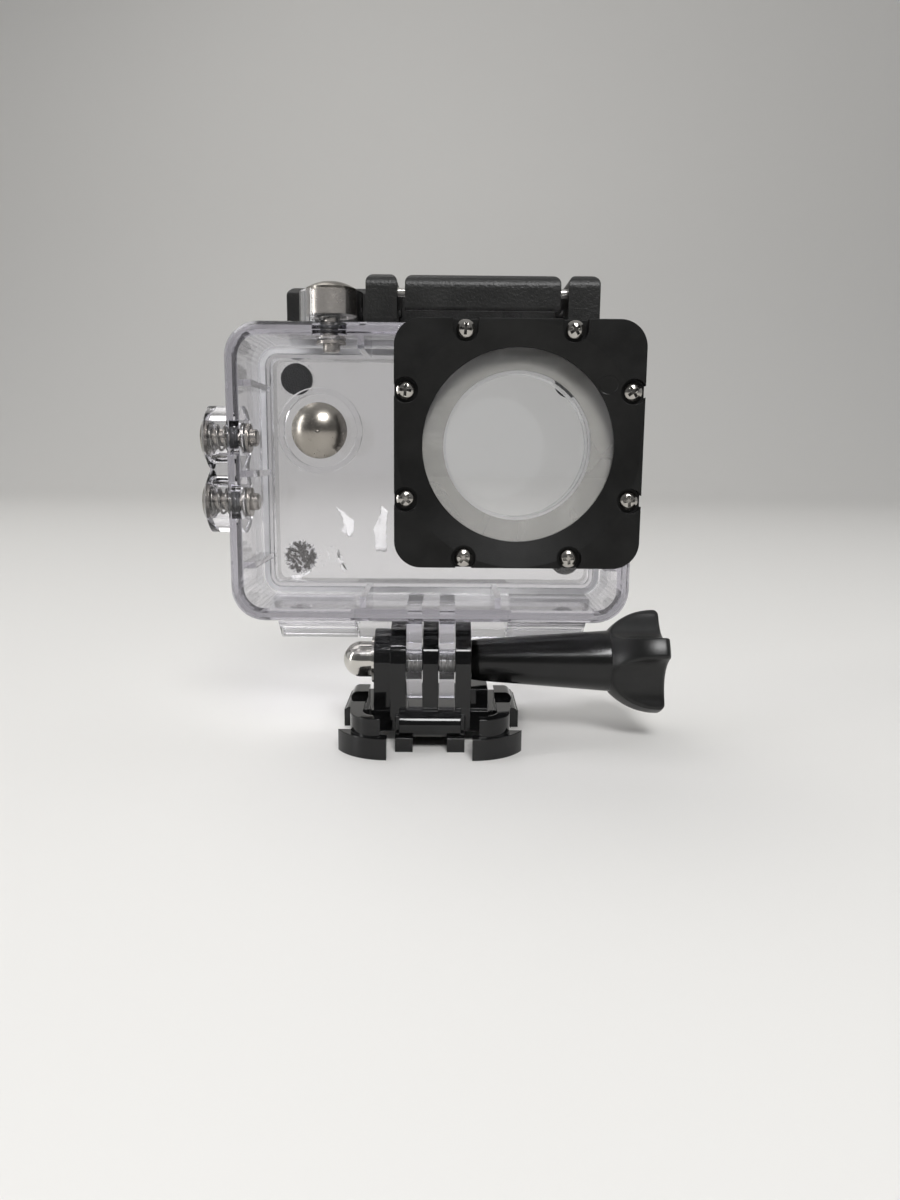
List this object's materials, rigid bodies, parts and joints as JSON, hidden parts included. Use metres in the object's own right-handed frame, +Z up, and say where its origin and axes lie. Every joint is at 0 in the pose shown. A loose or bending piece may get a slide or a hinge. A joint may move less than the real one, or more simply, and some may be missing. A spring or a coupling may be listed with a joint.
{
  "type": "action camera waterproof case",
  "caption": "Clear waterproof case for a small action camera, with latched rear door, steel push buttons, framed lens port and a quick-release buckle tilted on a thumb screw.",
  "frame": {"origin": "on the underside of the buckle, straight below the tilt axis", "axes": "-Y is the way the lens looks, +X the user's right facing the lens (thumb knob side), +Z up"},
  "size_m": [0.0842, 0.047, 0.0839],
  "materials": {
    "clear_case": "clear polished polycarbonate, faint violet-grey at its thick edges",
    "window_glass": "flat clear glass",
    "gasket_grey": "translucent grey sealing ring",
    "black_matte": "fine-textured black ABS",
    "black_gloss": "glossy black acetal",
    "steel_satin": "turned stainless steel, satin",
    "nut_bright": "bright nickel plate",
    "spring_steel": "drawn spring wire",
    "oring_black": "black nitrile rubber",
    "seal_silicone": "pale translucent silicone",
    "foam_black": "black closed-cell foam",
    "foam_residue": "torn foam and dried glue"
  },
  "bodies": {
    "buckle": {"quick_release_buckle": "black_gloss", "cap_nut": "nut_bright"},
    "thumb_screw": {"thumb_knob": "black_matte", "thumb_bolt": "steel_satin"},
    "housing": {"front_shell": "clear_case", "lens_window": "window_glass", "lens_gasket": "gasket_grey", "lens_bezel": "black_matte", "bezel_screws": "steel_satin", "button_orings": "oring_black", "button_washers": "steel_satin", "latch_pivot_pin": "steel_satin", "power_spring": "spring_steel", "shutter_spring": "spring_steel", "up_spring": "spring_steel", "down_spring": "spring_steel"},
    "rear_door": {"rear_door": "clear_case", "door_seal": "seal_silicone", "door_pads": "foam_black", "pad_residue": "foam_residue"},
    "latch_lever": {"latch_lever": "black_matte", "latch_link_pin": "steel_satin"},
    "latch_hook": {"latch_hook": "black_matte"},
    "power_button": {"power_button": "steel_satin", "power_clip": "steel_satin"},
    "shutter_button": {"shutter_button": "steel_satin", "shutter_clip": "steel_satin"},
    "up_button": {"up_button": "steel_satin", "up_clip": "steel_satin"},
    "down_button": {"down_button": "steel_satin", "down_clip": "steel_satin"}
  },
  "joints": [
    {"name": "thumb_screw_turn", "type": "hinge", "parent": "buckle", "child": "thumb_screw", "pos_m": [0, 0, 0.0146], "axis": [1, 0, 0], "continuous": true},
    {"name": "case_tilt", "type": "hinge", "parent": "buckle", "child": "housing", "pos_m": [0, 0, 0.0146], "axis": [1, 0, 0], "range_deg": [-28, 50]},
    {"name": "rear_door_swing", "type": "hinge", "parent": "housing", "child": "rear_door", "pos_m": [0, 0.0114, 0.019], "axis": [-1, 0, 0], "range_deg": [0, 90]},
    {"name": "latch_lever_lift", "type": "hinge", "parent": "housing", "child": "latch_lever", "pos_m": [0.00855, -0.003, 0.0816], "axis": [-1, 0, 0], "range_deg": [0, 100]},
    {"name": "latch_hook_swing", "type": "hinge", "parent": "latch_lever", "child": "latch_hook", "pos_m": [0.00855, -0.0076, 0.0806], "axis": [1, 0, 0], "range_deg": [0, 220]},
    {"name": "power_press", "type": "slide", "parent": "housing", "child": "power_button", "axis": [0, 1, 0], "range_m": [0, 0.0014], "stiffness_N_per_m": 500, "springref_m": -0.001, "deforming": ["power_spring"]},
    {"name": "shutter_press", "type": "slide", "parent": "housing", "child": "shutter_button", "axis": [0, 0, -1], "range_m": [0, 0.0014], "stiffness_N_per_m": 500, "springref_m": -0.001, "deforming": ["shutter_spring"]},
    {"name": "up_press", "type": "slide", "parent": "housing", "child": "up_button", "axis": [1, 0, 0], "range_m": [0, 0.0014], "stiffness_N_per_m": 500, "springref_m": -0.001, "deforming": ["up_spring"]},
    {"name": "down_press", "type": "slide", "parent": "housing", "child": "down_button", "axis": [1, 0, 0], "range_m": [0, 0.0014], "stiffness_N_per_m": 500, "springref_m": -0.001, "deforming": ["down_spring"]}
  ],
  "couplings": [
    {"joint": "latch_lever_lift", "follows": "rear_door_swing", "ratio": 1.1111},
    {"joint": "latch_hook_swing", "follows": "rear_door_swing", "ratio": 2.4444}
  ]
}
